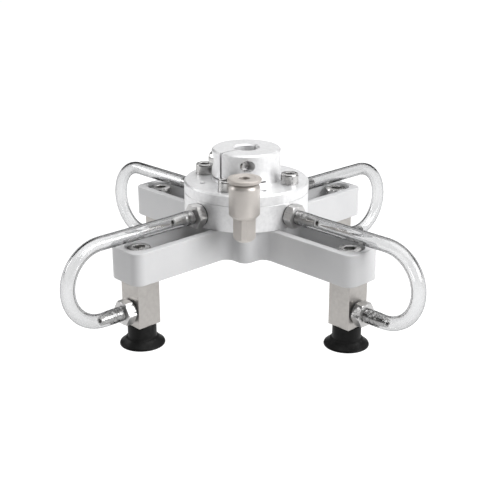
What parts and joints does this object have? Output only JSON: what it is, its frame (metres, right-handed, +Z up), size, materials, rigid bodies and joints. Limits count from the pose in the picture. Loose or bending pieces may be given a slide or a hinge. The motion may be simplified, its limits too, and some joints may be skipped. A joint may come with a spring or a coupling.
{
  "type": "pneumatic vacuum gripper",
  "caption": "Suction gripper: a split clamp hub and air manifold carry a cross plate whose slotted arms hold sliding blocks with rubber cups, fed by clear tubes from an inlet elbow.",
  "frame": {"origin": "on the hub's axis, in the plane the four cup lips stand on", "axes": "+Z up along the hub's axis; the arms lie along +X (front right), +Y (back right), -X (back left) and -Y (front left); the inlet elbow is between +X and -Y"},
  "size_m": [0.2577, 0.2577, 0.0973],
  "materials": {
    "anodised_aluminium": "fine blasted and clear anodised, satin",
    "screw_steel": "bright stainless steel",
    "rubber": "matt black",
    "cup_rubber": "moulded black rubber with a soft sheen",
    "bright_nickel": "bright nickel plate, mirror-like",
    "washer_nylon": "black nylon",
    "block_nickel": "satin nickel plate, warm grey",
    "satin_nickel": "satin nickel plate, warm beige grey",
    "clear_tube": "clear flexible plastic tube"
  },
  "bodies": {
    "gripper_frame": {"hub_flange": "anodised_aluminium", "clamp_screw": "screw_steel", "manifold_body": "anodised_aluminium", "inner_o_ring": "rubber", "outer_o_ring": "rubber", "cross_plate": "anodised_aluminium", "cover_screw_1": "screw_steel", "cover_screw_2": "screw_steel", "cover_screw_3": "screw_steel", "cover_screw_4": "screw_steel", "plate_screw_1": "screw_steel", "plate_screw_2": "screw_steel", "plate_screw_3": "screw_steel", "plate_screw_4": "screw_steel", "manifold_barb_front_right": "bright_nickel", "manifold_washer_front_right": "washer_nylon", "air_tube_front_right": "clear_tube", "manifold_barb_back_right": "bright_nickel", "manifold_washer_back_right": "washer_nylon", "air_tube_back_right": "clear_tube", "manifold_barb_back_left": "bright_nickel", "manifold_washer_back_left": "washer_nylon", "air_tube_back_left": "clear_tube", "manifold_barb_front_left": "bright_nickel", "manifold_washer_front_left": "washer_nylon", "air_tube_front_left": "clear_tube", "elbow_stem": "bright_nickel"},
    "front_right_holder": {"vacuum_block_front_right": "block_nickel", "slot_screw_front_right": "screw_steel", "block_barb_front_right": "bright_nickel", "block_washer_front_right": "washer_nylon", "cup_nipple_front_right": "bright_nickel", "suction_cup_front_right": "cup_rubber"},
    "back_right_holder": {"vacuum_block_back_right": "block_nickel", "slot_screw_back_right": "screw_steel", "block_barb_back_right": "bright_nickel", "block_washer_back_right": "washer_nylon", "cup_nipple_back_right": "bright_nickel", "suction_cup_back_right": "cup_rubber"},
    "back_left_holder": {"vacuum_block_back_left": "block_nickel", "slot_screw_back_left": "screw_steel", "block_barb_back_left": "bright_nickel", "block_washer_back_left": "washer_nylon", "cup_nipple_back_left": "bright_nickel", "suction_cup_back_left": "cup_rubber"},
    "front_left_holder": {"vacuum_block_front_left": "block_nickel", "slot_screw_front_left": "screw_steel", "block_barb_front_left": "bright_nickel", "block_washer_front_left": "washer_nylon", "cup_nipple_front_left": "bright_nickel", "suction_cup_front_left": "cup_rubber"},
    "inlet_elbow": {"elbow_body": "satin_nickel", "elbow_grip_ring": "screw_steel", "elbow_tube_seal": "rubber"},
    "inlet_release_collar": {"release_collar": "satin_nickel"}
  },
  "joints": [
    {"name": "front_right_holder_slide", "type": "slide", "parent": "gripper_frame", "child": "front_right_holder", "axis": [-1, 0, 0], "range_m": [0, 0.03], "deforming": ["air_tube_front_right"]},
    {"name": "back_right_holder_slide", "type": "slide", "parent": "gripper_frame", "child": "back_right_holder", "axis": [0, -1, 0], "range_m": [0, 0.03], "deforming": ["air_tube_back_right"]},
    {"name": "back_left_holder_slide", "type": "slide", "parent": "gripper_frame", "child": "back_left_holder", "axis": [1, 0, 0], "range_m": [0, 0.03], "deforming": ["air_tube_back_left"]},
    {"name": "front_left_holder_slide", "type": "slide", "parent": "gripper_frame", "child": "front_left_holder", "axis": [0, 1, 0], "range_m": [0, 0.03], "deforming": ["air_tube_front_left"]},
    {"name": "inlet_elbow_swivel", "type": "hinge", "parent": "gripper_frame", "child": "inlet_elbow", "pos_m": [0.03323, -0.03323, 0.06464], "axis": [0.7071, -0.7071, 0], "range_deg": [-75, 75]},
    {"name": "release_collar_press", "type": "slide", "parent": "inlet_elbow", "child": "inlet_release_collar", "axis": [0, 0, -1], "range_m": [0, 0.0009], "stiffness_N_per_m": 1500, "springref_m": -0.0005}
  ]
}
